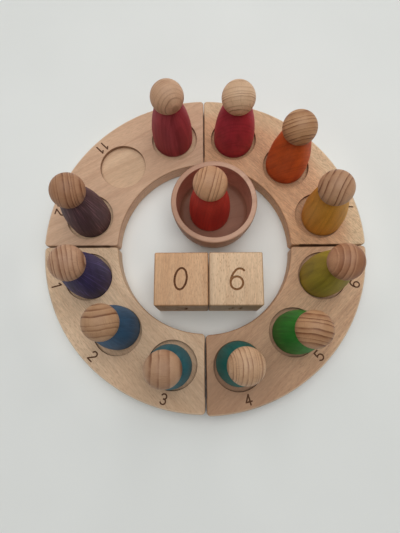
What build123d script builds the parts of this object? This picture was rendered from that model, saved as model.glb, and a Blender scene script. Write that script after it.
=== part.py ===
from build123d import *
import math
import os

# ---------------------------------------------------------------------------
# Driving dimensions, in millimetres. The frame's origin is the ring's centre
# on the table, +Z is up, and the reader stands on the -Y side.
# ---------------------------------------------------------------------------
# ring of four quarters
ring_outer_radius = 130.0
ring_inner_radius = 70.0
ring_thickness = 15.0
seam_gap = 0.9            # between the seam faces of two quarters laid out evenly
plan_corner_radius = 3.0  # rounded corners of a quarter, seen from above
edge_round = 1.1          # rounded upper and lower edges
# the quarters lie loose on the table: shift in x and y, and turn in degrees, off the even ring
quarter_places = {
    "quarter_january_march": (0.50, -0.15, 0.0),
    "quarter_april_june": (-0.55, -1.15, 0.57),
    "quarter_july_september": (-0.45, 0.20, 0.0),
    "quarter_october_december": (0.0, 0.20, 0.0),
}

# round recesses that hold the figures
recess_radius = 19.0
recess_depth = 3.6
recess_lip = 0.3          # broken edge at the mouth
recess_pitch_radius = 97.0
# drilled by hand: how far a recess lies off its even place in the quarter (x, y)
recess_nudges = {
    "january": (0.30, 0.40), "february": (0.0, 0.90), "march": (-0.40, 0.10), "june": (0.0, 0.60),
    "august": (0.40, 0.0), "september": (0.40, 0.0), "october": (-0.20, 0.0),
    "november": (0.0, 0.70), "december": (-0.60, 0.0),
}

# engraved numbers beside the recesses
number_height = 7.6
number_stroke = 1.15
number_radius = 122.6     # middle of the numbers, from the ring's centre
number_spacing = 5.4      # between the two digits of 10, 11 and 12
engraving_depth = 0.5

# turned figures: a tapering body with a ball head, in one piece
figure_foot_radius = 16.35
figure_foot_round = 1.3
figure_waist = (14.93, 30.6)  # a point of the body's long arc (radius, height)
figure_neck_height = 53.2
head_radius = 12.3
head_height = 61.2        # ball's centre above the foot
seat_gap = 0.05           # air under a piece that rests in another

# bowl for the figure of the month
bowl_x, bowl_y = 7.6, 30.9
bowl_height = 35.0
bowl_rim_outer = 33.6
bowl_rim_inner = 29.4
bowl_floor = 6.0
bowl_foot_radius = 22.5
bowl_heel = (31.4, 10.5)          # where the heel meets the wall (radius, height)
bowl_inner_corner = (28.0, 9.3)   # where the inner wall meets the corner
bowl_floor_radius = 24.31
bowl_rim_round = 1.2
bowl_lip_round = 0.5

# date cubes
cube_size = 40.0
cube_round = 1.3
cube_gap = 0.5
cube_mid_x, cube_mid_y = 3.0, -31.2
cube_digit_height = 16.0
cube_digit_stroke = 1.6
cube_digit_slant = -8.0   # degrees, the digits lean a little to the right

months = ["january", "february", "march", "april", "may", "june", "july",
          "august", "september", "october", "november", "december"]

# where each loose figure stands, off the even place of its recess (x, y)
figure_offsets = {
    "january": (2.70, -0.85), "february": (1.45, 2.75), "march": (-1.31, -0.86),
    "april": (-0.39, 1.23), "may": (0.20, -0.75), "june": (-1.55, -0.45),
    "august": (0.02, 2.04), "september": (0.04, 0.88),
    "october": (-1.33, 2.08), "december": (-0.12, -0.30),
}
# feet that were cut a little out of square: how far the head's middle is off the foot's (x, y)
head_offsets = {
    "february": (0.0, 0.60), "april": (1.34, -0.24), "may": (1.02, -0.65),
    "june": (0.80, -0.65), "august": (-0.90, 0.0),
}
foot_stock = 1.0          # cut off below such a foot
# one figure stands askew, the outer edge of its foot up on the recess's lip
leaning_month = "july"
leaning_foot = (96.4, 24.8, 13.09)  # middle of its foot
lean_angle = 6.2                    # degrees off upright
lean_heading = 180.0                # it leans towards -X
# the figure of the month stands in the bowl
bowl_figure_x, bowl_figure_y = 4.4, 31.2

os.makedirs("parts", exist_ok=True)


def month_angle(index):
    """Direction of a month's recess, in degrees. January lies at 195 degrees
    and the year runs anticlockwise, 30 degrees a month."""
    return 195.0 + 30.0 * index


# ---------------------------------------------------------------------------
# Stroke digits: open strokes are the groove's centre lines, rings are closed
# loops (centre x, centre y, radius x, radius y), in units of the digit height.
# ---------------------------------------------------------------------------
def polyline_stroke(points, height):
    with BuildLine() as path:
        Polyline(*[(x * height, y * height) for x, y in points])
    return path.wires()[0]


def arc_stroke(cx, cy, radius, start, sweep_angle, height):
    with BuildLine() as path:
        CenterArc((cx * height, cy * height), radius * height, start, sweep_angle)
    return path.wires()[0]


def two_stroke(height):
    # a hook that runs tangentially into a slanted leg, and a foot
    cx, cy, r, end = 0.0, 0.24, 0.26, -38.0
    ex = cx + r * math.cos(math.radians(end))
    ey = cy + r * math.sin(math.radians(end))
    dx, dy = math.sin(math.radians(end)), -math.cos(math.radians(end))
    t = (-0.5 - ey) / dy
    with BuildLine() as path:
        CenterArc((cx * height, cy * height), r * height, 168.0, end - 168.0)
        Polyline((ex * height, ey * height), ((ex + t * dx) * height, -0.5 * height), (0.28 * height, -0.5 * height))
    return path.wires()[0]


def hook_stroke(height, turn):
    # the stem of a six, bent over at its end; turned half round it is a nine's
    h = height * turn
    with BuildLine() as path:
        stem = ThreePointArc((-0.285 * h, -0.205 * h), (-0.235 * h, 0.15 * h), (-0.10 * h, 0.39 * h))
        TangentArc(stem @ 1, (0.26 * h, 0.415 * h), tangent=stem % 1)
    return path.wires()[0]


def digit_strokes(height):
    h = height
    strokes = {
        0: [],
        1: [polyline_stroke([(-0.17, 0.29), (0.06, 0.5), (0.06, -0.5)], h)],
        2: [two_stroke(h)],
        3: [arc_stroke(-0.02, 0.245, 0.255, 155.0, -245.0, h), arc_stroke(-0.02, -0.245, 0.265, 90.0, -245.0, h)],
        4: [polyline_stroke([(0.12, 0.5), (-0.28, -0.19), (0.31, -0.19)], h),
            polyline_stroke([(0.12, 0.5), (0.12, -0.5)], h)],
        5: [polyline_stroke([(0.24, 0.5), (-0.18, 0.5), (-0.21, 0.035)], h),
            arc_stroke(-0.01, -0.195, 0.305, 131.0, -276.0, h)],
        6: [hook_stroke(h, 1)],
        7: [polyline_stroke([(-0.27, 0.5), (0.27, 0.5), (-0.08, -0.5)], h)],
        8: [],
        9: [hook_stroke(h, -1)],
    }
    return strokes


digit_rings = {
    0: [(0.0, 0.0, 0.275, 0.5)],
    6: [(0.0, -0.205, 0.285, 0.295)],
    8: [(0.0, 0.255, 0.235, 0.245), (0.0, -0.225, 0.28, 0.275)],
    9: [(0.0, 0.205, 0.285, 0.295)],
}

number_strokes = digit_strokes(number_height)
cube_strokes = digit_strokes(cube_digit_height)


def draw_digit(digit, strokes, height, width, place):
    """Groove outline of one digit at a place in the sketch in hand."""
    with Locations(place):
        for wire in strokes[digit]:
            SlotArc(wire, width)
    for cx, cy, rx, ry in digit_rings.get(digit, []):
        with Locations(place * Location((cx * height, cy * height, 0))):
            Ellipse(rx * height + width / 2, ry * height + width / 2)
    for cx, cy, rx, ry in digit_rings.get(digit, []):
        with Locations(place * Location((cx * height, cy * height, 0))):
            Ellipse(rx * height - width / 2, ry * height - width / 2, mode=Mode.SUBTRACT)


# ---------------------------------------------------------------------------
# Ring quarters
# ---------------------------------------------------------------------------
def recess_place(index, heading):
    """Centre of a month's recess in its quarter's plan, whose x axis has the given heading (radians)."""
    across = math.radians(15.0 + 30.0 * (index % 3))
    nx, ny = recess_nudges.get(months[index], (0.0, 0.0))
    return (recess_pitch_radius * math.cos(across) + nx * math.cos(heading) + ny * math.sin(heading),
            recess_pitch_radius * math.sin(across) - nx * math.sin(heading) + ny * math.cos(heading))


def ring_quarter(label, turn, first_month):
    """A quarter of the ring. Its own x axis is the ring's, turned by 'turn'."""
    shift_x, shift_y, askew = quarter_places[label]
    heading = math.radians(turn + askew)
    base = Plane(origin=(shift_x, shift_y, 0), x_dir=(math.cos(heading), math.sin(heading), 0), z_dir=(0, 0, 1))
    g = seam_gap / 2
    ro, ri = ring_outer_radius, ring_inner_radius
    po, pi_ = math.sqrt(ro * ro - g * g), math.sqrt(ri * ri - g * g)
    c45 = math.cos(math.radians(45))
    with BuildPart() as quarter:
        # plan outline: two arcs and two straight seam faces, corners rounded
        with BuildSketch(base):
            with BuildLine():
                ThreePointArc((po, g), (ro * c45, ro * c45), (g, po))
                Line((g, po), (g, pi_))
                ThreePointArc((g, pi_), (ri * c45, ri * c45), (pi_, g))
                Line((pi_, g), (po, g))
            make_face()
            fillet(vertices(), plan_corner_radius)
        extrude(amount=ring_thickness)
        # rounded upper and lower edges
        fillet(faces().sort_by(Axis.Z)[-1].edges() + faces().sort_by(Axis.Z)[0].edges(), edge_round)
        # three recesses
        with BuildSketch(base.offset(ring_thickness)):
            with Locations(*[recess_place(first_month + k, heading) for k in range(3)]):
                Circle(recess_radius)
        extrude(amount=-recess_depth, mode=Mode.SUBTRACT)
        mouths = edges().filter_by(GeomType.CIRCLE).filter_by(lambda e: abs(e.radius - recess_radius) < 1e-6)
        fillet(mouths.group_by(Axis.Z)[-1], recess_lip)
        # engraved numbers, their heads towards the ring's centre
        with BuildSketch(base.offset(ring_thickness)):
            for k in range(3):
                number = first_month + k + 1
                across = 15.0 + 30.0 * k
                digits = [int(ch) for ch in str(number)]
                for i, digit in enumerate(digits):
                    shift = (i - (len(digits) - 1) / 2) * number_spacing
                    # a digit's own x axis runs anticlockwise round the ring
                    place = Location((0, 0, 0), (0, 0, across + 90)) * Location((shift, -number_radius, 0))
                    draw_digit(digit, number_strokes, number_height, number_stroke, place)
        extrude(amount=-engraving_depth, mode=Mode.SUBTRACT)
    quarter.part.label = label
    return quarter


quarters = [
    ring_quarter("quarter_january_march", 180, 0),
    ring_quarter("quarter_april_june", 270, 3),
    ring_quarter("quarter_july_september", 0, 6),
    ring_quarter("quarter_october_december", 90, 9),
]
for quarter in quarters:
    export_step(quarter.part, f"parts/{quarter.part.label}.step")


# ---------------------------------------------------------------------------
# Turned figures
# ---------------------------------------------------------------------------
def body_radius(height):
    """Radius of the body's long arc, which runs on below the foot."""
    neck_r = math.sqrt(head_radius ** 2 - (head_height - figure_neck_height) ** 2)
    (ax, ay), (bx, by), (cx, cy) = (figure_foot_radius, 0.0), figure_waist, (neck_r, figure_neck_height)
    d = 2 * (ax * (by - cy) + bx * (cy - ay) + cx * (ay - by))
    a2, b2, c2 = ax * ax + ay * ay, bx * bx + by * by, cx * cx + cy * cy
    mid_r = (a2 * (by - cy) + b2 * (cy - ay) + c2 * (ay - by)) / d
    mid_h = (a2 * (cx - bx) + b2 * (ax - cx) + c2 * (bx - ax)) / d
    return mid_r + math.sqrt((ax - mid_r) ** 2 + (ay - mid_h) ** 2 - (height - mid_h) ** 2)


def turned_figure(label, x, y, z, lean=0.0, heading=0.0, foot_cut_level=False):
    """Body and ball head turned from one blank, its foot's middle at (x, y, z).
    A leaning figure keeps its foot square to its axis unless the foot is cut level."""
    tilt, way = math.radians(lean), math.radians(heading)
    axis = (math.sin(tilt) * math.cos(way), math.sin(tilt) * math.sin(way), math.cos(tilt))
    side = Plane(origin=(x, y, z), z_dir=(math.sin(way), -math.cos(way), 0),
                 x_dir=(math.cos(tilt) * math.cos(way), math.cos(tilt) * math.sin(way), -math.sin(tilt)))
    neck_r = math.sqrt(head_radius ** 2 - (head_height - figure_neck_height) ** 2)
    start = -foot_stock if foot_cut_level else 0.0
    with BuildPart() as figure:
        with BuildSketch(side):
            with BuildLine():
                Line((0, start), (body_radius(start), start))
                # belly and tapering shoulder in one long arc
                ThreePointArc((body_radius(start), start), figure_waist, (neck_r, figure_neck_height))
                # ball head
                ThreePointArc((neck_r, figure_neck_height), (head_radius, head_height), (0, head_height + head_radius))
                Line((0, head_height + head_radius), (0, start))
            make_face()
        revolve(axis=Axis((x, y, z), axis))
        if foot_cut_level:
            split(bisect_by=Plane(origin=(x, y, z), z_dir=(0, 0, 1)), keep=Keep.TOP)
        # rounded foot edge
        fillet(faces().sort_by(Axis.Z)[0].edges(), figure_foot_round)
    figure.part.label = label
    return figure


for index, month in enumerate(months):
    if month == "november":
        figure = turned_figure("figure_november", bowl_figure_x, bowl_figure_y, bowl_floor + seat_gap)
    elif month == leaning_month:
        figure = turned_figure("figure_" + month, *leaning_foot, lean_angle, lean_heading)
    else:
        angle = math.radians(month_angle(index))
        ox, oy = figure_offsets[month]
        hx, hy = head_offsets.get(month, (0.0, 0.0))
        figure = turned_figure("figure_" + month, recess_pitch_radius * math.cos(angle) + ox,
                               recess_pitch_radius * math.sin(angle) + oy,
                               ring_thickness - recess_depth + seat_gap,
                               math.degrees(math.atan(math.hypot(hx, hy) / head_height)),
                               math.degrees(math.atan2(hy, hx)), month in head_offsets)
    export_step(figure.part, f"parts/{figure.part.label}.step")


# ---------------------------------------------------------------------------
# Bowl: nearly upright wall, well rounded below, flat floor
# ---------------------------------------------------------------------------
with BuildPart() as month_bowl:
    with BuildSketch(Plane(origin=(bowl_x, bowl_y, 0), x_dir=(1, 0, 0), z_dir=(0, -1, 0))):
        with BuildLine():
            Line((0, 0), (bowl_foot_radius, 0))
            # outside: a round heel, then a nearly upright wall
            heel = TangentArc((bowl_foot_radius, 0), bowl_heel, tangent=(0.9367, 0.3502))
            wall = TangentArc(heel @ 1, (bowl_rim_outer, bowl_height - bowl_rim_round), tangent=heel % 1)
            # flat rim with rounded edges
            crown = TangentArc(wall @ 1, (bowl_rim_outer - bowl_rim_round, bowl_height), tangent=(0, 1))
            rim = Line(crown @ 1, (bowl_rim_inner + bowl_lip_round, bowl_height))
            lip = TangentArc(rim @ 1, (bowl_rim_inner, bowl_height - bowl_lip_round), tangent=(-1, 0))
            # inside: wall, round corner and flat floor
            inner = TangentArc(lip @ 1, bowl_inner_corner, tangent=(0, -1))
            corner = TangentArc(inner @ 1, (bowl_floor_radius, bowl_floor), tangent=inner % 1)
            Line(corner @ 1, (0, bowl_floor))
            Line((0, bowl_floor), (0, 0))
        make_face()
    revolve(axis=Axis((bowl_x, bowl_y, 0), (0, 0, 1)))
month_bowl.part.label = "month_bowl"
export_step(month_bowl.part, "parts/month_bowl.step")


# ---------------------------------------------------------------------------
# Date cubes
# ---------------------------------------------------------------------------
def date_cube(label, x, y, faces_shown, shift):
    """Cube with one engraved digit on each face. faces_shown gives the digits
    of the top, front, right, back, left and bottom faces, and shift how far
    the digits stand off the faces' middles."""
    s = cube_size
    top, front, right, back, left, bottom = faces_shown
    sides = [
        (top, (x, y, s), (1, 0, 0), (0, 0, 1)),
        (front, (x, y - s / 2, s / 2), (1, 0, 0), (0, -1, 0)),
        (right, (x + s / 2, y, s / 2), (0, 1, 0), (1, 0, 0)),
        (back, (x, y + s / 2, s / 2), (-1, 0, 0), (0, 1, 0)),
        (left, (x - s / 2, y, s / 2), (0, -1, 0), (-1, 0, 0)),
        (bottom, (x, y, 0), (1, 0, 0), (0, 0, -1)),
    ]
    with BuildPart() as cube:
        with BuildSketch(Plane(origin=(x, y, 0), x_dir=(1, 0, 0), z_dir=(0, 0, 1))):
            Rectangle(s, s)
        extrude(amount=s)
        fillet(edges(), cube_round)
        for digit, origin, x_dir, z_dir in sides:
            with BuildSketch(Plane(origin=origin, x_dir=x_dir, z_dir=z_dir)):
                draw_digit(digit, cube_strokes, cube_digit_height, cube_digit_stroke,
                           Location((shift, 0, 0), (0, 0, cube_digit_slant)))
            extrude(amount=-engraving_depth, mode=Mode.SUBTRACT)
    cube.part.label = label
    return cube


half = (cube_size + cube_gap) / 2
left_cube = date_cube("date_cube_left", cube_mid_x - half, cube_mid_y, (0, 3, 1, 5, 4, 2), -0.35)
right_cube = date_cube("date_cube_right", cube_mid_x + half, cube_mid_y, (6, 8, 2, 7, 1, 0), 0.8)
export_step(left_cube.part, "parts/date_cube_left.step")
export_step(right_cube.part, "parts/date_cube_right.step")
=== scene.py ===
import math

import bpy
from mathutils import Matrix, Vector


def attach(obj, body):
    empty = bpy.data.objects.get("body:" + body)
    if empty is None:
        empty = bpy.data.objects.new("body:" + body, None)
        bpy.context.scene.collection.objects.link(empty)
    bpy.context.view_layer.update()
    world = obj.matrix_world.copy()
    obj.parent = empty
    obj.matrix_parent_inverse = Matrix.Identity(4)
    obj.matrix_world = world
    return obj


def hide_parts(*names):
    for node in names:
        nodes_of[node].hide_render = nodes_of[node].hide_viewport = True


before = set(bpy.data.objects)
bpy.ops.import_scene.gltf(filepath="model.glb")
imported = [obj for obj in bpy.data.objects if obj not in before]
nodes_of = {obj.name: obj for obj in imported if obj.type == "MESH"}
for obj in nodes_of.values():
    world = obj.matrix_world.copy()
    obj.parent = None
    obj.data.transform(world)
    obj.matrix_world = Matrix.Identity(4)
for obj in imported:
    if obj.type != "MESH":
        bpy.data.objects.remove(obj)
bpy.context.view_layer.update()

MM = 0.001
scene = bpy.context.scene

# --------------------------------------------------------------------------
# Dimensions of the object, in millimetres, as in the construction
# --------------------------------------------------------------------------
RING_TOP = 15.0
RECESS_FLOOR = 11.4
RECESS_PITCH = 97.0
FOOT_Z = 11.45
NECK = 53.2
HEAD_R, HEAD_Z = 12.3, 61.2
BOWL_X, BOWL_Y = 7.6, 30.9
CUBE = 40.0
CUBE_CENTRES = {"date_cube_left": (-17.25, -31.2), "date_cube_right": (23.25, -31.2)}
# shift in x and y, and turn in degrees, of each loose quarter
QUARTER_PLACES = {
    "quarter_january_march": (0.50, -0.15, 0.0),
    "quarter_april_june": (-0.55, -1.15, 0.57),
    "quarter_july_september": (-0.45, 0.20, 0.0),
    "quarter_october_december": (0.0, 0.20, 0.0),
}
MONTHS = ["january", "february", "march", "april", "may", "june", "july",
          "august", "september", "october", "november", "december"]
OFFSETS = {
    "january": (2.70, -0.85), "february": (1.45, 2.75), "march": (-1.31, -0.86),
    "april": (-0.39, 1.23), "may": (0.20, -0.75), "june": (-1.55, -0.45),
    "august": (0.02, 2.04), "september": (0.04, 0.88),
    "october": (-1.33, 2.08), "december": (-0.12, -0.30),
}
# feet cut a little out of square: how far the head's middle is off the foot's
HEAD_OFFSETS = {
    "february": (0.0, 0.60), "april": (1.34, -0.24), "may": (1.02, -0.65),
    "june": (0.80, -0.65), "august": (-0.90, 0.0),
}


def figure_frame(month):
    """Frame of a figure in mm: its foot's middle is the origin and +Z runs up its axis."""
    if month == "november":
        return Matrix.Translation((4.4, 31.2, 6.05))
    if month == "july":
        # this one leans, with the outer edge of its foot up on the recess's lip
        return Matrix.Translation((96.4, 24.8, 13.08)) @ Matrix.Rotation(math.radians(-6.2), 4, "Y")
    a = math.radians(195.0 + 30.0 * MONTHS.index(month))
    ox, oy = OFFSETS[month]
    hx, hy = HEAD_OFFSETS.get(month, (0.0, 0.0))
    lean = Vector((0.0, 0.0, 1.0)).rotation_difference(Vector((hx, hy, HEAD_Z))).to_matrix().to_4x4()
    return Matrix.Translation((RECESS_PITCH * math.cos(a) + ox, RECESS_PITCH * math.sin(a) + oy, FOOT_Z)) @ lean


# --------------------------------------------------------------------------
# Camera: almost straight down, from the reader's side
# --------------------------------------------------------------------------
cam_data = bpy.data.cameras.new("camera")
cam_data.sensor_width = 36.0
cam_data.lens = 27.80
cam_data.clip_start, cam_data.clip_end = 0.01, 50.0
cam = bpy.data.objects.new("camera", cam_data)
scene.collection.objects.link(cam)
forward = Vector((-0.01334, 0.20243, -0.97921)).normalized()
right = Vector((0.99990, -0.00223, -0.01408))
right = (right - forward * right.dot(forward)).normalized()
up = right.cross(forward)
cam.matrix_world = Matrix((
    (right.x, up.x, -forward.x, 0.714 * MM),
    (right.y, up.y, -forward.y, -83.658 * MM),
    (right.z, up.z, -forward.z, 337.540 * MM),
    (0, 0, 0, 1)))
scene.camera = cam


# --------------------------------------------------------------------------
# Node helpers
# --------------------------------------------------------------------------
class Tree:
    """Short forms for building a node tree."""

    def __init__(self, tree):
        self.tree = tree
        self.count = 0

    def put(self, socket, value):
        if value is None:
            return
        if isinstance(value, bpy.types.NodeSocket):
            self.tree.links.new(value, socket)
        elif isinstance(value, (tuple, list)) and len(value) == 3 and socket.type == "RGBA":
            socket.default_value = (*value, 1.0)
        else:
            socket.default_value = value

    def node(self, kind, **settings):
        n = self.tree.nodes.new(kind)
        n.location = (220 * (self.count // 8), -180 * (self.count % 8))
        self.count += 1
        for key, value in settings.items():
            setattr(n, key, value)
        return n

    def math(self, op, a, b=None, c=None, clamp=False):
        n = self.node("ShaderNodeMath", operation=op, use_clamp=clamp)
        for s, v in zip(n.inputs, (a, b, c)):
            self.put(s, v)
        return n.outputs[0]

    def vec(self, op, a, b=None):
        n = self.node("ShaderNodeVectorMath", operation=op)
        self.put(n.inputs[0], a)
        if op == "SCALE":
            self.put(n.inputs["Scale"], b)
        else:
            self.put(n.inputs[1], b)
        return n.outputs["Value"] if op in ("LENGTH", "DOT_PRODUCT", "DISTANCE") else n.outputs["Vector"]

    def split(self, v):
        n = self.node("ShaderNodeSeparateXYZ")
        self.put(n.inputs[0], v)
        return n.outputs[0], n.outputs[1], n.outputs[2]

    def join(self, x, y, z):
        n = self.node("ShaderNodeCombineXYZ")
        for s, v in zip(n.inputs, (x, y, z)):
            self.put(s, v)
        return n.outputs[0]

    def step(self, value, low, high, to_low=0.0, to_high=1.0, smooth=True):
        n = self.node("ShaderNodeMapRange", interpolation_type="SMOOTHSTEP" if smooth else "LINEAR", clamp=True)
        for key, v in (("Value", value), ("From Min", low), ("From Max", high), ("To Min", to_low), ("To Max", to_high)):
            self.put(n.inputs[key], v)
        return n.outputs[0]

    def noise(self, vector, scale=1.0, detail=2.0, rough=0.5, dims="3D", w=None):
        n = self.node("ShaderNodeTexNoise", noise_dimensions=dims)
        if vector is not None:
            self.put(n.inputs["Vector"], vector)
        if w is not None:
            self.put(n.inputs["W"], w)
        self.put(n.inputs["Scale"], scale)
        self.put(n.inputs["Detail"], detail)
        self.put(n.inputs["Roughness"], rough)
        return n.outputs

    def mix(self, fac, a, b, blend="MIX"):
        n = self.node("ShaderNodeMix", data_type="RGBA", blend_type=blend, clamp_factor=True)
        self.put(n.inputs[0], fac)
        self.put(n.inputs[6], a)
        self.put(n.inputs[7], b)
        return n.outputs[2]

    def lerp(self, fac, a, b):
        n = self.node("ShaderNodeMix", data_type="FLOAT", clamp_factor=True)
        self.put(n.inputs[0], fac)
        self.put(n.inputs[2], a)
        self.put(n.inputs[3], b)
        return n.outputs[0]


def srgb(r, g, b):
    """Linear colour from 0 to 255 display values."""
    def lin(c):
        c /= 255.0
        return c / 12.92 if c <= 0.04045 else ((c + 0.055) / 1.055) ** 2.4
    return (lin(r), lin(g), lin(b))


# --------------------------------------------------------------------------
# Solid beech: growth rings around a pith line, rays, fibres, soft streaks and
# slow tone changes, in a space whose Z runs along the grain, in millimetres
# --------------------------------------------------------------------------
def make_beech_group():
    group = bpy.data.node_groups.new("beech", "ShaderNodeTree")
    face = group.interface
    face.new_socket("Vector", in_out="INPUT", socket_type="NodeSocketVector")
    for name, default in (("Spacing", 3.0), ("Wander", 2.0), ("Reach", 60.0), ("Seed", 0.0), ("Sharp", 0.9),
                          ("RayWide", 0.95), ("RayLong", 3.0), ("RayFill", 0.30)):
        s = face.new_socket(name, in_out="INPUT", socket_type="NodeSocketFloat")
        s.default_value = default
    for name in ("Late", "Line", "Year", "Ray", "Dash", "Fibre", "Streak", "Tone", "Blotch"):
        face.new_socket(name, in_out="OUTPUT", socket_type="NodeSocketFloat")
    t = Tree(group)
    gin = t.node("NodeGroupInput").outputs
    out = t.node("NodeGroupOutput").inputs
    v, seed = gin["Vector"], gin["Seed"]
    shift = t.join(t.math("MULTIPLY", seed, 17.31), t.math("MULTIPLY", seed, -9.17), t.math("MULTIPLY", seed, 5.73))

    def stretched(source, across, along):
        return t.vec("ADD", t.vec("MULTIPLY", source, (1 / across, 1 / across, 1 / along)), shift)

    # slow wander of the rings, much longer along the grain than across it
    slow = t.noise(stretched(v, 38.0, 170.0), detail=2.0)["Color"]
    bend = t.vec("SCALE", t.vec("SUBTRACT", slow, (0.5, 0.5, 0.5)), gin["Wander"])
    bend = t.vec("MULTIPLY", bend, (2.0, 2.0, 0.0))
    small = t.noise(stretched(v, 5.5, 26.0), detail=2.0)["Color"]
    small = t.vec("MULTIPLY", t.vec("SUBTRACT", small, (0.5, 0.5, 0.5)), (0.85, 0.85, 0.0))
    q = t.vec("ADD", t.vec("ADD", v, bend), small)
    x, y, z = t.split(q)
    r = t.math("SQRT", t.math("ADD", t.math("MULTIPLY", x, x), t.math("MULTIPLY", y, y)))
    turn = t.math("ARCTAN2", y, x)
    # ring count, with wide and narrow years
    years = t.math("DIVIDE", r, gin["Spacing"])
    uneven = t.noise(None, dims="1D", w=t.math("ADD", t.math("MULTIPLY", years, 0.37), t.math("MULTIPLY", seed, 3.1)),
                     detail=1.0)["Fac"]
    years = t.math("ADD", years, t.math("MULTIPLY", t.math("SUBTRACT", uneven, 0.5), 1.7))
    part = t.math("FRACT", years)
    white = t.node("ShaderNodeTexWhiteNoise", noise_dimensions="1D")
    t.put(white.inputs["W"], t.math("ADD", t.math("FLOOR", years), t.math("MULTIPLY", seed, 31.7)))
    # a year's strength differs from its neighbours' and fades along and around the trunk
    fade = t.noise(stretched(v, 8.0, 34.0), detail=2.0)["Fac"]
    strength = t.step(white.outputs["Value"], 0.0, 1.0, 0.35, 1.0, smooth=False)
    strength = t.math("MULTIPLY", strength, t.step(fade, 0.28, 0.62, 0.35, 1.0))
    sharp = gin["Sharp"]
    drop = t.step(part, t.math("ADD", sharp, 0.01), t.math("ADD", sharp, 0.085), 1.0, 0.0)
    rise = t.math("POWER", t.step(part, 0.18, sharp), 1.7)
    t.put(out["Late"], t.math("MULTIPLY", t.math("MULTIPLY", rise, drop), strength))
    thin = t.step(part, t.math("SUBTRACT", sharp, 0.30), t.math("SUBTRACT", sharp, 0.02))
    t.put(out["Line"], t.math("MULTIPLY", t.math("MULTIPLY", thin, drop), strength))
    # some years are darker through and through
    other = t.node("ShaderNodeTexWhiteNoise", noise_dimensions="1D")
    t.put(other.inputs["W"], t.math("ADD", t.math("FLOOR", years), t.math("ADD", t.math("MULTIPLY", seed, 53.9), 0.5)))
    soft = t.math("MULTIPLY", t.step(part, 0.0, 0.25), drop)
    t.put(out["Year"], t.math("MULTIPLY", t.step(other.outputs["Value"], 0.25, 1.0), soft))
    # rays: thin lenses that point at the pith
    polar = t.join(t.math("MULTIPLY", r, 1 / 20.0),
                   t.math("DIVIDE", t.math("MULTIPLY", turn, gin["Reach"]), gin["RayWide"]),
                   t.math("DIVIDE", z, gin["RayLong"]))
    cells = t.node("ShaderNodeTexVoronoi", voronoi_dimensions="3D", feature="F1")
    t.put(cells.inputs["Vector"], t.vec("ADD", polar, shift))
    t.put(cells.inputs["Scale"], 1.0)
    lens = t.step(cells.outputs["Distance"], t.math("MULTIPLY", gin["RayFill"], 0.35), gin["RayFill"], 1.0, 0.0)
    tint = t.split(cells.outputs["Color"])[0]
    t.put(out["Ray"], t.math("MULTIPLY", lens, t.step(tint, 0.15, 0.9, 0.25, 1.0)))
    # short dashes between the rays, fibres, soft streaks and slow changes of tone
    t.put(out["Dash"], t.noise(stretched(q, 0.9, 4.6), detail=1.0, rough=0.5)["Fac"])
    t.put(out["Fibre"], t.noise(stretched(q, 0.5, 13.0), detail=3.0, rough=0.62)["Fac"])
    t.put(out["Streak"], t.noise(stretched(q, 4.6, 130.0), detail=1.0, rough=0.4)["Fac"])
    t.put(out["Tone"], t.noise(stretched(q, 13.0, 190.0), detail=2.0, rough=0.5)["Fac"])
    t.put(out["Blotch"], t.noise(stretched(v, 42.0, 90.0), detail=2.0)["Fac"])
    return group


BEECH = make_beech_group()


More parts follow.
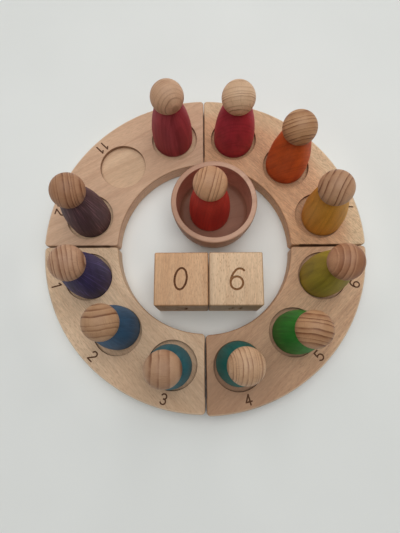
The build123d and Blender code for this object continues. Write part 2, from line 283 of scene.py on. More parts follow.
class Wood:
    """One material cut from solid beech. grain is the direction of growth, pith a point on the pith line (mm)."""

    def __init__(self, name, grain, pith, spacing, wander, seed, sharp=0.9, reach=60.0, ray_size=(0.95, 3.0, 0.30)):
        self.material = bpy.data.materials.new(name)
        self.material.use_nodes = True
        tree = self.material.node_tree
        tree.nodes.clear()
        self.t = t = Tree(tree)
        self.out = t.node("ShaderNodeOutputMaterial")
        self.shader = t.node("ShaderNodeBsdfPrincipled")
        tree.links.new(self.shader.outputs[0], self.out.inputs["Surface"])
        coords = t.node("ShaderNodeTexCoord")
        self.place = t.vec("MULTIPLY", coords.outputs["Object"], (1000.0, 1000.0, 1000.0))
        self.normal = coords.outputs["Normal"]
        w = Vector(grain).normalized()
        side = Vector((0, 0, 1)) if abs(w.z) < 0.9 else Vector((1, 0, 0))
        u = (side - w * side.dot(w)).normalized()
        v = w.cross(u)
        turn = Matrix((u, v, w))
        m = t.node("ShaderNodeMapping", vector_type="POINT")
        t.put(m.inputs["Vector"], self.place)
        m.inputs["Location"].default_value = turn @ (-Vector(pith))
        m.inputs["Rotation"].default_value = turn.to_euler("XYZ")
        g = t.node("ShaderNodeGroup", node_tree=BEECH)
        t.put(g.inputs["Vector"], m.outputs[0])
        for key, value in (("Spacing", spacing), ("Wander", wander), ("Seed", seed), ("Sharp", sharp),
                           ("Reach", reach), ("RayWide", ray_size[0]), ("RayLong", ray_size[1]),
                           ("RayFill", ray_size[2])):
            g.inputs[key].default_value = value
        self.late, self.line, self.ray = g.outputs["Late"], g.outputs["Line"], g.outputs["Ray"]
        self.year, self.dash = g.outputs["Year"], g.outputs["Dash"]
        self.fibre, self.streak = g.outputs["Fibre"], g.outputs["Streak"]
        self.tone, self.blotch = g.outputs["Tone"], g.outputs["Blotch"]
        # how far a surface shows end grain
        self.end = t.math("POWER", t.math("ABSOLUTE", t.vec("DOT_PRODUCT", self.normal, tuple(w))), 2.0)

    def natural(self, pale, mid, late, ray, late_amount=0.3, line_amount=0.0, year_amount=0.0, ray_amount=0.3,
                streak_amount=0.2, tone_amount=0.15, fibre=0.07, dash=0.0, end_dark=0.14):
        """Colour of bare, oiled beech."""
        t = self.t
        c = t.mix(t.step(self.blotch, 0.30, 0.72), pale, mid)
        c = t.mix(t.math("MULTIPLY", t.step(self.tone, 0.32, 0.70), tone_amount), c, late)
        c = t.mix(t.math("MULTIPLY", t.step(self.streak, 0.38, 0.74), streak_amount), c, late)
        c = t.mix(t.math("MULTIPLY", self.late, late_amount), c, late)
        if year_amount:
            c = t.mix(t.math("MULTIPLY", self.year, year_amount), c, late)
        if line_amount:
            c = t.mix(t.math("MULTIPLY", self.line, line_amount), c, ray)
        c = t.mix(t.math("MULTIPLY", self.ray, ray_amount), c, ray)
        shade = t.step(self.fibre, 0.28, 0.72, 1.0 - fibre, 1.0 + fibre * 0.7, smooth=False)
        if dash:
            shade = t.math("MULTIPLY", shade, t.step(self.dash, 0.28, 0.72, 1.0 - dash, 1.0 + dash, smooth=False))
        shade = t.math("MULTIPLY", shade, t.math("SUBTRACT", 1.0, t.math("MULTIPLY", self.end, end_dark)))
        return t.mix(1.0, c, t.join(shade, shade, shade), "MULTIPLY")

    def finish(self, colour, rough, height, bump=0.35, depth=0.00012, specular=0.3):
        """Wires the shader: colour, roughness and fine relief."""
        t, s = self.t, self.shader
        t.put(s.inputs["Base Color"], colour)
        t.put(s.inputs["Roughness"], rough)
        s.inputs["Specular IOR Level"].default_value = specular
        b = t.node("ShaderNodeBump")
        b.inputs["Strength"].default_value = bump
        b.inputs["Distance"].default_value = depth
        t.put(b.inputs["Height"], height)
        t.put(s.inputs["Normal"], b.outputs[0])
        return self.material

    def relief(self):
        """Fine surface relief: fibres stand a little above the late wood and the rays."""
        t = self.t
        h = t.math("SUBTRACT", self.fibre, t.math("MULTIPLY", self.late, 0.35))
        return t.math("SUBTRACT", h, t.math("MULTIPLY", self.ray, 0.3))

    def roughness(self, low, high):
        t = self.t
        mixed = t.math("ADD", t.math("MULTIPLY", self.fibre, 0.6), t.math("MULTIPLY", self.blotch, 0.4))
        return t.step(mixed, 0.3, 0.7, low, high, smooth=False)


# --------------------------------------------------------------------------
# Ring quarters: bare beech with burnt, engraved numbers
# --------------------------------------------------------------------------
BURNT = srgb(64, 38, 26)
BURNT_EDGE = srgb(108, 72, 48)


def quarter_material(node, grain, pith, spacing, wander, seed, reach, ray_size, colours, drift_and_shade, recess_shade_range, sapwood=None,
                     inner_wall_light=1.0, floor_shade=(0.86, 0.834, 0.817), **amounts):
    w = Wood("beech_" + node, grain, pith, spacing, wander, seed, reach=reach, ray_size=ray_size)
    t = w.t
    c = w.natural(*colours, **amounts)
    # the board's tone drifts darker towards one end; on the January–March and April–June boards this is painted shade
    # over their front ends
    way, start, stop, share = drift_and_shade
    along = t.vec("DOT_PRODUCT", w.place, (math.cos(math.radians(way)), math.sin(math.radians(way)), 0.0))
    c = t.mix(t.step(along, start, stop, share, 0.0), c, colours[2])
    # place in the quarter's own ring
    sx, sy, askew = QUARTER_PLACES[node]
    own = t.node("ShaderNodeVectorRotate", rotation_type="Z_AXIS")
    t.put(own.inputs["Vector"], t.vec("SUBTRACT", w.place, (sx, sy, 0.0)))
    own.inputs["Angle"].default_value = math.radians(-askew)
    x, y, z = t.split(own.outputs["Vector"])
    r = t.math("SQRT", t.math("ADD", t.math("MULTIPLY", x, x), t.math("MULTIPLY", y, y)))
    # sapwood along the outer edge is paler
    if sapwood:
        low, high, gain = sapwood
        c = t.mix(t.step(r, low, high), c, t.mix(1.0, c, gain, "MULTIPLY"))
    # painted highlight along the outer rim, painted shade along the inner one
    top = t.step(z, 13.4, 14.2)
    c = t.mix(t.math("MULTIPLY", t.math("MULTIPLY", t.step(r, 128.4, 129.6), top), 0.55), c, srgb(236, 214, 188))
    c = t.mix(t.math("MULTIPLY", t.math("MULTIPLY", t.step(r, 71.0, 70.3), top), 0.45), c, colours[2])
    # painted light on the inner wall of the ring below its rim, brighter on the October–December board
    painted_wall_mask = t.math("MULTIPLY", t.step(r, 70.9, 70.3), t.math("SUBTRACT", 1.0, top))
    c = t.mix(painted_wall_mask, c, t.mix(1.0, c, (inner_wall_light, inner_wall_light, inner_wall_light), "MULTIPLY"))
    # engraved numbers: below the face, between two radii, away from the seams
    turn = t.math("ARCTAN2", y, x)
    fold = t.math("ABSOLUTE", t.math("WRAP", t.math("SUBTRACT", turn, math.radians(15)), math.radians(15), math.radians(-15)))
    mask = t.math("MULTIPLY", t.math("LESS_THAN", z, RING_TOP - 0.03), t.math("GREATER_THAN", z, RING_TOP - 0.8))
    mask = t.math("MULTIPLY", mask, t.math("MULTIPLY", t.math("GREATER_THAN", r, 117.2), t.math("LESS_THAN", r, 128.2)))
    mask = t.math("MULTIPLY", mask, t.math("LESS_THAN", fold, math.radians(8)))
    char = t.noise(w.place, scale=2.2, detail=3.0)["Fac"]
    burnt = t.mix(t.step(char, 0.35, 0.65), BURNT, BURNT_EDGE)
    burnt = t.mix(t.step(z, RING_TOP - 0.3, RING_TOP - 0.03, 0.0, 0.8), burnt, BURNT_EDGE)
    c = t.mix(mask, c, burnt)
    # painted shade on the walls of the recesses, strongest at their foot
    deep = t.math("MULTIPLY", t.step(z, RING_TOP - 0.16, RING_TOP - 0.02, 1.0, 0.0),
                  t.step(z, RECESS_FLOOR - 0.4, RECESS_FLOOR - 0.2))
    steep = t.step(t.math("ABSOLUTE", t.split(w.normal)[2]), 0.80, 0.97, 1.0, 0.0)
    inner = t.math("MULTIPLY", t.math("GREATER_THAN", r, 77.0), t.math("LESS_THAN", r, 117.15))
    recess_shade = t.step(t.noise(w.place, scale=0.16, detail=3.0)["Fac"], 0.30, 0.66, *recess_shade_range)
    recess_shade = t.math("ADD", recess_shade, t.step(z, RECESS_FLOOR, RECESS_FLOOR + 1.0, 0.20, 0.0), clamp=True)
    c = t.mix(t.math("MULTIPLY", t.math("MULTIPLY", deep, steep), t.math("MULTIPLY", inner, recess_shade)), c, srgb(96, 62, 42))
    # painted shade on the floors of the recesses under the figures; on the October–December board, with the empty
    # recess, painted light instead
    floors = t.math("MULTIPLY", t.step(z, RECESS_FLOOR + 0.05, RECESS_FLOOR + 0.25, 1.0, 0.0),
                    t.step(z, RECESS_FLOOR - 0.4, RECESS_FLOOR - 0.2))
    floors = t.math("MULTIPLY", floors, inner)
    c = t.mix(floors, c, t.mix(1.0, c, floor_shade, "MULTIPLY"))
    rough = t.lerp(mask, w.roughness(0.46, 0.64), 0.85)
    return w.finish(c, rough, w.relief())


# each quarter is sawn from its own board
D = math.radians
QUARTERS = {
    "quarter_january_march": dict(
        grain=(math.cos(D(131)), math.sin(D(131)), 0.02), pith=(-20.0, 20.0, -95.0), spacing=2.6, wander=3.0,
        seed=1.3, reach=110.0, ray_size=(0.5, 3.6, 0.42), drift_and_shade=(135, -50.0, 30.0, 0.36), recess_shade_range=(0.62, 1.0),
        colours=(srgb(226, 196, 164), srgb(217, 186, 153), srgb(172, 132, 100), srgb(142, 98, 70)),
        late_amount=0.16, ray_amount=0.36, streak_amount=0.24, tone_amount=0.16, fibre=0.12, dash=0.11),
    "quarter_april_june": dict(
        grain=(math.cos(D(45)), math.sin(D(45)), -0.02), pith=(15.0, 20.0, -80.0), spacing=3.4, wander=3.0,
        seed=4.1, reach=110.0, ray_size=(0.5, 3.6, 0.42), drift_and_shade=(45, -60.0, 36.0, 0.6), recess_shade_range=(0.62, 1.0),
        colours=(srgb(213, 175, 141), srgb(203, 163, 129), srgb(156, 113, 84), srgb(134, 92, 66)),
        late_amount=0.24, ray_amount=0.36, streak_amount=0.30, tone_amount=0.18, fibre=0.12, dash=0.12),
    "quarter_july_september": dict(
        grain=(math.cos(D(136)), math.sin(D(136)), 0.015), pith=(30.0, 20.0, -75.0), spacing=2.4, wander=2.5,
        seed=7.7, reach=100.0, ray_size=(0.5, 2.8, 0.46), drift_and_shade=(-45, -48.0, 4.0, 0.22), recess_shade_range=(0.52, 0.92),
        sapwood=(109.0, 123.0, (1.09, 1.33, 1.48)),
        colours=(srgb(216, 173, 135), srgb(208, 162, 123), srgb(170, 118, 84), srgb(132, 82, 52)),
        late_amount=0.14, ray_amount=0.45, streak_amount=0.18, tone_amount=0.14, fibre=0.12, dash=0.16),
    "quarter_october_december": dict(
        grain=(math.cos(D(27)), math.sin(D(27)), 0.03), pith=(-60.0, 40.0, -105.0), spacing=4.2, wander=6.0,
        seed=2.9, reach=120.0, ray_size=(0.6, 4.0, 0.40), drift_and_shade=(207, -20.0, 60.0, 0.10), recess_shade_range=(0.18, 0.56),
        inner_wall_light=1.27, floor_shade=(1.05, 1.10, 1.08),
        colours=(srgb(214, 178, 148), srgb(207, 170, 140), srgb(168, 124, 96), srgb(154, 110, 82)),
        late_amount=0.34, ray_amount=0.30, streak_amount=0.28, tone_amount=0.14, fibre=0.10, dash=0.06),
}
for node, spec in QUARTERS.items():
    nodes_of[node].data.materials[0] = quarter_material(node, **spec)


# --------------------------------------------------------------------------
# Turned figures
# --------------------------------------------------------------------------
def lathe(name, profile, place, segments=128, sharp=(), level=None):
    """A turned solid: profile is (radius, height) from the lower to the upper end on the axis, and place its frame, in mm.
    Its foot is cut off flat at the height level, if one is given."""
    verts, faces, rows = [], [], []

    def spot(x, y, height):
        v = place @ Vector((x, y, height))
        if level is not None:
            v.z = level if height == 0.0 else max(v.z, level)
        return v * MM

    for radius, height in profile:
        if radius < 1e-6:
            rows.append([len(verts)])
            verts.append(spot(0.0, 0.0, height))
            continue
        rows.append(list(range(len(verts), len(verts) + segments)))
        for i in range(segments):
            a = 2 * math.pi * i / segments
            verts.append(spot(radius * math.cos(a), radius * math.sin(a), height))
    for low, high in zip(rows, rows[1:]):
        for i in range(segments):
            j = (i + 1) % segments
            if len(low) == 1:
                faces.append((low[0], high[j], high[i]))
            elif len(high) == 1:
                faces.append((low[i], low[j], high[0]))
            else:
                faces.append((low[i], low[j], high[j], high[i]))
    mesh = bpy.data.meshes.new(name)
    mesh.from_pydata(verts, [], faces)
    mesh.validate()
    mesh.polygons.foreach_set("use_smooth", [True] * len(mesh.polygons))
    loops = set()
    for k in sharp:
        row = rows[k]
        for i in range(segments):
            loops.add(frozenset((row[i], row[(i + 1) % segments])))
    if loops:
        flags = mesh.attributes.new("sharp_edge", "BOOLEAN", "EDGE")
        flags.data.foreach_set("value", [frozenset(e.vertices) in loops for e in mesh.edges])
    mesh.update()
    obj = bpy.data.objects.new(name, mesh)
    scene.collection.objects.link(obj)
    return obj


def arc(centre, radius, start, end, steps):
    """Points of an arc, angles in degrees."""
    return [(centre[0] + radius * math.cos(math.radians(start + (end - start) * i / steps)),
             centre[1] + radius * math.sin(math.radians(start + (end - start) * i / steps)))
            for i in range(steps + 1)]


def circle_through(a, b, c):
    """Centre and radius of the circle through three points."""
    d = 2 * (a[0] * (b[1] - c[1]) + b[0] * (c[1] - a[1]) + c[0] * (a[1] - b[1]))
    ux = ((a[0] ** 2 + a[1] ** 2) * (b[1] - c[1]) + (b[0] ** 2 + b[1] ** 2) * (c[1] - a[1])
          + (c[0] ** 2 + c[1] ** 2) * (a[1] - b[1])) / d
    uy = ((a[0] ** 2 + a[1] ** 2) * (c[0] - b[0]) + (b[0] ** 2 + b[1] ** 2) * (a[0] - c[0])
          + (c[0] ** 2 + c[1] ** 2) * (b[0] - a[0])) / d
    return (ux, uy), math.hypot(a[0] - ux, a[1] - uy)


def figure_profile(seed):
    """Rounded foot, long body arc, a fine turned groove at the neck and the ball head."""
    neck_r = math.sqrt(HEAD_R ** 2 - (HEAD_Z - NECK) ** 2)
    c, big = circle_through((16.35, 0.0), (14.93, 30.6), (neck_r, NECK))
    foot = 1.3
    fx = c[0] + math.sqrt((big - foot) ** 2 - (foot - c[1]) ** 2)
    lean = math.degrees(math.atan2(foot - c[1], fx - c[0]))
    points = [(0.0, 0.0), (4.0, 0.0), (9.0, 0.0), (13.0, 0.0)]
    points += arc((fx, foot), foot, -90.0, lean, 8)
    top = math.degrees(math.atan2(NECK - 0.22 - c[1], math.sqrt(big ** 2 - (NECK - 0.22 - c[1]) ** 2)))
    body = arc(c, big, lean, top, 56)[1:]
    # turned by hand: the body's line swells and shrinks by a few hundredths
    for k, (r, h) in enumerate(body):
        wave = 0.5 + 0.5 * math.sin(h * (0.21 + 0.013 * seed) + seed * 2.1)
        fade = min(1.0, k / 8.0, (len(body) - 1 - k) / 8.0)
        points.append((r - 0.09 * wave * fade, h))
    edge = len(points) - 1
    start = math.degrees(math.asin((NECK + 0.22 - HEAD_Z) / HEAD_R))
    points.append((neck_r - 0.30, NECK))
    head = arc((0.0, HEAD_Z), HEAD_R, start, 90.0, 46)
    crease = len(points)
    points += head[:-1] + [(0.0, HEAD_Z + HEAD_R)]
    return points, (edge, crease)


# along: direction of the growth lines seen from above (degrees); spacing of the rings and signed distance of the
# pith from the head's middle (mm); tilt of the grain off the axis and its heading (degrees); head: its pale colour and
# how strong soft late wood, thin lines and dark years are; dye: light and deep, and how strong fine pale veins show
FIGURES = {
    "january": dict(along=102, spacing=2.9, pith=48, tilt=(3, 0), head=(198, 159, 130), late=0.60, line=0.80, year=0.30,
                    dye=((76, 65, 111), (43, 36, 61)), veins=0.55),
    "february": dict(along=8, spacing=4.1, pith=34, tilt=(3, 90), head=(190, 152, 118), late=0.60, line=0.95, year=0.25,
                     dye=((62, 104, 140), (38, 68, 96)), veins=0.14),
    "march": dict(along=90, spacing=6.4, pith=83, tilt=(2, 0), head=(188, 151, 121), late=0.55, line=0.95, year=0.25, rays=0.30,
                  dye=((52, 118, 130), (28, 80, 92)), veins=0.10),
    "april": dict(along=95, spacing=2.4, pith=75, tilt=(3, 0), head=(206, 169, 135), late=0.40, line=0.80, year=0.20, rays=0.34,
                  dye=((22, 116, 108), (11, 78, 74)), veins=0.08),
    "may": dict(along=-10, spacing=3.1, pith=-80, tilt=(4, -100), head=(188, 145, 108), late=0.75, line=0.95, year=0.30,
                dye=((56, 144, 50), (28, 98, 30)), veins=0.14),
    "june": dict(along=84, spacing=4.3, pith=78, tilt=(3, 0), head=(189, 142, 109), late=0.85, line=0.55, year=0.60,
                 dye=((191, 169, 61), (140, 118, 39)), veins=0.05),
    "july": dict(along=60, spacing=4.2, pith=-60, tilt=(3, 0), head=(192, 150, 117), late=0.65, line=1.0, year=0.30,
                 dye=((240, 172, 70), (187, 120, 38)), veins=0.05),
    "august": dict(along=14, spacing=2.6, pith=-90, tilt=(22, -76), head=(194, 149, 110), late=0.80, line=1.0, year=0.35,
                   dye=((234, 108, 47), (178, 70, 30)), veins=0.05),
    "september": dict(along=2, spacing=2.6, pith=-90, tilt=(22, -88), head=(226, 191, 158), late=0.40, line=0.70, year=0.20, rays=0.45,
                      dye=((206, 61, 77), (147, 38, 52)), veins=0.05),
    "october": dict(along=30, spacing=2.6, pith=-38, tilt=(3, 120), head=(208, 168, 137), late=0.15, line=0.52, year=0.0,
                    dye=((196, 77, 87), (138, 43, 53)), veins=0.08),
    "november": dict(along=76, spacing=4.0, pith=66, tilt=(3, 0), head=(215, 169, 132), late=0.55, line=0.80, year=0.30,
                     dye=((216, 66, 54), (164, 38, 34)), veins=0.05),
    "december": dict(along=103, spacing=2.7, pith=70, tilt=(3, 0), head=(182, 138, 106), late=0.80, line=1.0, year=0.40,
                     dye=((108, 79, 84), (68, 47, 52)), veins=0.55),
}


def shaded(rgb, r, g, b):
    """A display colour made darker, channel by channel."""
    return srgb(rgb[0] * r, rgb[1] * g, rgb[2] * b)


def figure_material(name, month, seed):
    spec = FIGURES[month]
    own = figure_frame(month)
    turn = own.to_3x3()
    foot, axis = own.translation, turn @ Vector((0.0, 0.0, 1.0))
    lean, way = (math.radians(v) for v in spec["tilt"])
    grain = Vector((math.sin(lean) * math.cos(way), math.sin(lean) * math.sin(way), math.cos(lean)))
    a = math.radians(spec["along"] + 90.0)
    across = Vector((math.cos(a), math.sin(a), 0.0))
    across = (across - grain * across.dot(grain)).normalized()
    pith = own @ (Vector((0.0, 0.0, HEAD_Z)) + across * spec["pith"])
    w = Wood(name, turn @ grain, pith, spec["spacing"], 1.6, seed, 0.88, reach=abs(spec["pith"]), ray_size=(0.6, 3.0, 0.34))
    t = w.t
    pale = spec["head"]
    wood = w.natural(srgb(*pale), shaded(pale, 0.95, 0.93, 0.91), shaded(pale, 0.74, 0.63, 0.56),
                     shaded(pale, 0.58, 0.45, 0.37), late_amount=spec["late"], line_amount=spec["line"],
                     year_amount=spec["year"], ray_amount=spec.get("rays", 0.28), streak_amount=0.20, tone_amount=0.12, fibre=0.10,
                     end_dark=0.05)
    # fine veins run down the body
    rise = t.vec("SUBTRACT", w.place, tuple(foot))
    height = t.vec("DOT_PRODUCT", rise, tuple(axis))
    out = t.vec("NORMALIZE", t.vec("SUBTRACT", rise, t.vec("SCALE", tuple(axis), height)))
    # painted light and shade on the head: its lower part is painted lighter, its crown darker
    head_light_and_shade = t.step(height, HEAD_Z + 0.35 * HEAD_R, HEAD_Z + 0.97 * HEAD_R, 1.34, 0.94, smooth=False)
    wood = t.mix(1.0, wood, t.join(head_light_and_shade, head_light_and_shade, head_light_and_shade), "MULTIPLY")
    veins = t.vec("ADD", t.vec("SCALE", out, 13.0), t.vec("SCALE", tuple(axis), t.math("MULTIPLY", height, 0.035)))
    veins = t.noise(t.vec("ADD", veins, (seed * 3.1, 0.0, seed)), detail=2.0, rough=0.6)["Fac"]
    # thin dye: it soaks in unevenly, and rings, rays and fibres show through
    light, deep = (srgb(*c) for c in spec["dye"])
    soak = t.math("MULTIPLY", t.step(w.tone, 0.3, 0.75), 0.35)
    soak = t.math("ADD", soak, t.math("MULTIPLY", t.step(w.streak, 0.35, 0.75), 0.30))
    soak = t.math("ADD", soak, t.math("MULTIPLY", w.late, 0.30), clamp=True)
    dye = t.mix(soak, light, deep)
    dye = t.mix(t.math("MULTIPLY", w.ray, 0.25), dye, deep)
    vein = t.step(veins, 0.50, 0.72)
    dye = t.mix(t.math("MULTIPLY", vein, spec["veins"]), dye, shaded([min(255, 1.55 * c) for c in spec["dye"][0]], 1, 1, 1))
    shade = t.step(w.fibre, 0.28, 0.72, 0.88, 1.08, smooth=False)
    dye = t.mix(1.0, dye, t.join(shade, shade, shade), "MULTIPLY")
    # the dye ends at the neck, with a slightly uneven line
    creep = t.math("MULTIPLY", t.math("SUBTRACT", t.noise(w.place, scale=0.9, detail=2.0)["Fac"], 0.5), 0.35)
    height = t.math("ADD", height, creep)
    body = t.step(height, NECK - 0.10, NECK + 0.16, 1.0, 0.0)
    c = t.mix(body, wood, dye)
    # painted shade in the groove under the head; the foot's edge is rubbed
    groove = t.step(t.math("ABSOLUTE", t.math("SUBTRACT", height, NECK)), 0.05, 0.55, 0.55, 0.0)
    c = t.mix(groove, c, srgb(62, 42, 34))
    rubbed = t.math("MULTIPLY", t.step(height, 0.15, 1.1, 1.0, 0.0), t.step(w.blotch, 0.35, 0.65, 0.08, 0.30))
    c = t.mix(rubbed, c, srgb(120, 92, 74))
    rough = t.lerp(body, w.roughness(0.48, 0.64), w.roughness(0.55, 0.70))
    return w.finish(c, rough, w.relief(), bump=0.3, depth=0.0001, specular=0.32)


for index, month in enumerate(MONTHS):
    node = "figure_" + month
    profile, sharp = figure_profile(index * 1.7 + 0.6)
    figure = lathe("turned_" + month, profile, figure_frame(month), sharp=sharp,
                   level=FOOT_Z if month in HEAD_OFFSETS else None)
    figure.data.materials.append(figure_material("dyed_beech_" + month, month, index * 2.3 + 0.7))
    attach(figure, node)
    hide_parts(node)


# --------------------------------------------------------------------------
# Bowl
# --------------------------------------------------------------------------
def tangent_arc(a, direction, b, steps):
    """Points from a to b on the arc that leaves a in the given direction, and the direction at b."""
    d = Vector(direction).normalized()
    chord = Vector((b[0] - a[0], b[1] - a[1]))
    turn = 2 * math.atan2(d.x * chord.y - d.y * chord.x, d.dot(chord))
    pts = []
    for i in range(1, steps + 1):
        s = i / steps
        # chord from a to the point at share s of the turn
        half = turn * s / 2
        length = chord.length * (math.sin(half) / math.sin(turn / 2) if abs(turn) > 1e-9 else s)
        ang = math.atan2(d.y, d.x) + half
        pts.append((a[0] + length * math.cos(ang), a[1] + length * math.sin(ang)))
    end = math.atan2(d.y, d.x) + turn
    return pts, (math.cos(end), math.sin(end))


def bowl_profile():
    pts = [(0.0, 0.0), (8.0, 0.0), (16.0, 0.0), (22.5, 0.0)]
    foot = len(pts) - 1
    more, d = tangent_arc((22.5, 0.0), (0.9367, 0.3502), (31.4, 10.5), 14)
    pts += more
    more, d = tangent_arc(pts[-1], d, (33.6, 33.8), 18)
    pts += more
    # flat rim with rounded edges
    more, d = tangent_arc(pts[-1], (0.0, 1.0), (32.4, 35.0), 6)
    pts += more
    pts += [(31.6, 35.0), (30.7, 35.0), (29.9, 35.0)]
    more, d = tangent_arc(pts[-1], (-1.0, 0.0), (29.4, 34.5), 5)
    pts += more
    more, d = tangent_arc(pts[-1], (0.0, -1.0), (28.0, 9.3), 18)
    pts += more
    more, d = tangent_arc(pts[-1], d, (24.31, 6.0), 10)
    pts += more
    pts += [(18.0, 6.0), (11.0, 6.0), (5.0, 6.0), (0.0, 6.0)]
    return pts, (foot,)


def bowl_material():
    w = Wood("beech_bowl_turned", (math.cos(D(20)), math.sin(D(20)), 0.03), (BOWL_X + 10.0, BOWL_Y, -70.0), 3.2, 3.0, 5.9,
             reach=85.0)
    t = w.t
    c = w.natural(srgb(206, 168, 144), srgb(198, 158, 134), srgb(160, 116, 92), srgb(144, 98, 74),
                  late_amount=0.35, ray_amount=0.25, streak_amount=0.25)
    x, y, z = t.split(t.vec("SUBTRACT", w.place, (BOWL_X, BOWL_Y, 0.0)))
    # painted shade: the bowl is darker towards its left side
    c = t.mix(t.step(x, -32.0, 6.0, 0.45, 0.0), c, srgb(160, 116, 92))
    # the rim is darker at the front
    c = t.mix(t.math("MULTIPLY", t.step(y, -32.0, -24.0, 0.22, 0.0), t.step(z, 34.0, 34.6)), c, srgb(160, 116, 92))
    # painted shade, tinted red, on the floor inside, and painted light on the upper inner walls
    r = t.math("SQRT", t.math("ADD", t.math("MULTIPLY", x, x), t.math("MULTIPLY", y, y)))
    inside = t.math("MULTIPLY", t.step(r, 29.2, 29.6, 1.0, 0.0), t.step(z, 3.0, 5.0))
    inside = t.math("MULTIPLY", inside, t.step(z, 34.2, 34.7, 1.0, 0.0))
    inside_light_and_shade = t.mix(t.step(z, 6.2, 13.0), srgb(192, 170, 162), (1.19, 1.08, 1.08))
    c = t.mix(inside, c, t.mix(1.0, c, inside_light_and_shade, "MULTIPLY"))
    # faint marks of the turning tool round the axis
    wave = t.noise(None, dims="1D", w=t.math("MULTIPLY", t.math("ADD", r, z), 1.7), detail=2.0)["Fac"]
    height = t.math("ADD", w.relief(), t.math("MULTIPLY", wave, 0.5))
    return w.finish(c, w.roughness(0.46, 0.62), height, bump=0.3, depth=0.0001)


profile, sharp = bowl_profile()
bowl = lathe("turned_bowl", profile, Matrix.Translation((BOWL_X, BOWL_Y, 0.0)), segments=160, sharp=sharp)
bowl.data.materials.append(bowl_material())
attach(bowl, "month_bowl")
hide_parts("month_bowl")


# --------------------------------------------------------------------------
# Date cubes
# --------------------------------------------------------------------------
def cube_material(node, pith, spacing, seed, ray_size, colours, burn, gap_shade=1.0, **amounts):
    centre = CUBE_CENTRES[node]
    w = Wood("beech_" + node, (0.02, 1.0, 0.03), pith, spacing, 1.5, seed, reach=60.0, ray_size=ray_size)
    t = w.t
    c = w.natural(*colours, **amounts)
    local = t.vec("ABSOLUTE", t.vec("SUBTRACT", w.place, (centre[0], centre[1], CUBE / 2)))
    x, y, z = t.split(local)
    far = t.math("MAXIMUM", x, t.math("MAXIMUM", y, z))
    near = t.math("MINIMUM", x, t.math("MINIMUM", y, z))
    middle = t.math("SUBTRACT", t.math("ADD", x, t.math("ADD", y, z)), t.math("ADD", far, near))
    # painted shade on the upper face: darker towards the front and, on the right cube, beside the gap to the left cube;
    # the edges are darker
    across, along, _ = t.split(t.vec("SUBTRACT", w.place, (centre[0], centre[1], CUBE / 2)))
    tone = t.math("MULTIPLY", t.step(along, -20.0, 20.0, 0.88, 1.04, smooth=False), t.step(across, -20.0, -14.0, gap_shade, 1.0))
    c = t.mix(t.step(t.split(w.normal)[2], 0.3, 0.7), c, t.mix(1.0, c, t.join(tone, tone, tone), "MULTIPLY"))
    edge = t.step(middle, CUBE / 2 - 1.1, CUBE / 2 - 0.3)
    c = t.mix(t.math("MULTIPLY", edge, 0.42), c, colours[3])
    # burnt digits below the faces
    mask = t.math("MULTIPLY", t.math("LESS_THAN", far, CUBE / 2 - 0.03), t.math("LESS_THAN", middle, 12.0))
    char = t.noise(w.place, scale=1.6, detail=3.0)["Fac"]
    burnt = t.mix(t.step(char, 0.35, 0.65), *burn)
    burnt = t.mix(t.step(far, CUBE / 2 - 0.3, CUBE / 2 - 0.03, 0.0, 0.8), burnt, burn[1])
    c = t.mix(mask, c, burnt)
    rough = t.lerp(mask, w.roughness(0.46, 0.62), 0.85)
    return w.finish(c, rough, w.relief())


CUBES = {
    "date_cube_left": dict(pith=(-40.0, -31.0, -45.0), spacing=3.6, seed=3.3, ray_size=(0.46, 2.6, 0.46),
                           colours=(srgb(211, 170, 131), srgb(203, 160, 121), srgb(168, 119, 80), srgb(146, 95, 60)),
                           burn=(srgb(72, 42, 24), srgb(112, 70, 40)),
                           late_amount=0.14, ray_amount=0.42, streak_amount=0.24, tone_amount=0.12, fibre=0.12, dash=0.10),
    "date_cube_right": dict(pith=(60.0, -31.0, -60.0), spacing=3.0, seed=8.4, ray_size=(0.46, 2.8, 0.43),
                            colours=(srgb(222, 191, 157), srgb(215, 182, 147), srgb(185, 142, 104), srgb(140, 95, 62)),
                            gap_shade=0.82,
                            burn=(srgb(104, 66, 38), srgb(146, 102, 64)),
                            late_amount=0.12, ray_amount=0.42, streak_amount=0.22, tone_amount=0.12, fibre=0.12, dash=0.10),
}
for node, spec in CUBES.items():
    nodes_of[node].data.materials[0] = cube_material(node, **spec)


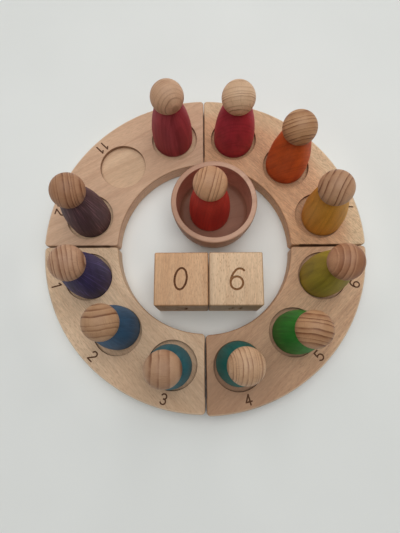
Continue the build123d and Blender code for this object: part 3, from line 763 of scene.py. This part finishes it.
# --------------------------------------------------------------------------
# Pale floor and soft light
# --------------------------------------------------------------------------
def floor():
    mesh = bpy.data.meshes.new("floor")
    s = 4.0
    mesh.from_pydata([(-s, -s, -0.0002), (s, -s, -0.0002), (s, s, -0.0002), (-s, s, -0.0002)], [], [(0, 1, 2, 3)])
    obj = bpy.data.objects.new("floor", mesh)
    scene.collection.objects.link(obj)
    m = bpy.data.materials.new("floor_paint")
    m.use_nodes = True
    t = Tree(m.node_tree)
    shader = m.node_tree.nodes["Principled BSDF"]
    coords = t.node("ShaderNodeTexCoord")
    mottle = t.noise(coords.outputs["Object"], scale=6.0, detail=3.0)["Fac"]
    paint = t.mix(t.step(mottle, 0.3, 0.7), srgb(228, 230, 228), srgb(232, 234, 232))
    # painted light on the floor beside the ring, left and right, which takes out its shadow there
    x, y, z = t.split(coords.outputs["Object"])
    r = t.math("SQRT", t.math("ADD", t.math("MULTIPLY", x, x), t.math("MULTIPLY", y, y)))
    left = t.math("MULTIPLY", t.step(x, -0.03, -0.11), t.step(y, 0.03, -0.03, 0.0, 0.13))
    right = t.math("MULTIPLY", t.step(x, 0.03, 0.11), t.step(y, -0.07, -0.01, 0.0, 0.06))
    floor_light = t.math("ADD", 1.0, t.math("MULTIPLY", t.math("ADD", left, right), t.step(r, 0.13, 0.17, 1.0, 0.0)))
    t.put(shader.inputs["Base Color"], t.mix(1.0, paint, t.join(floor_light, floor_light, floor_light), "MULTIPLY"))
    shader.inputs["Roughness"].default_value = 0.75
    shader.inputs["Specular IOR Level"].default_value = 0.15
    mesh.materials.append(m)


floor()


def area(name, place, target, size, power, colour=(1, 1, 1)):
    data = bpy.data.lights.new(name, "AREA")
    data.shape = "RECTANGLE"
    data.size, data.size_y = size
    data.energy = power
    data.color = colour
    obj = bpy.data.objects.new(name, data)
    obj.location = place
    obj.rotation_euler = (Vector(target) - Vector(place)).to_track_quat("-Z", "Y").to_euler()
    scene.collection.objects.link(obj)


area("ceiling", (0.0, 0.1, 1.7), (0.0, 0.0, 0.0), (1.8, 1.8), 24.0, (1.0, 1.0, 0.985))
area("window_right", (0.75, 0.95, 1.25), (0.0, 0.0, 0.0), (1.4, 1.1), 6.6, (1.0, 1.0, 0.985))
area("window_left", (-0.75, 0.95, 1.25), (0.0, 0.0, 0.0), (1.4, 1.1), 3.2, (1.0, 1.0, 0.985))

world = bpy.data.worlds.new("studio")
world.use_nodes = True
world.node_tree.nodes["Background"].inputs["Color"].default_value = (0.93, 0.95, 0.95, 1)
world.node_tree.nodes["Background"].inputs["Strength"].default_value = 0.04
scene.world = world
scene.view_settings.view_transform = "Standard"
scene.view_settings.look = "None"
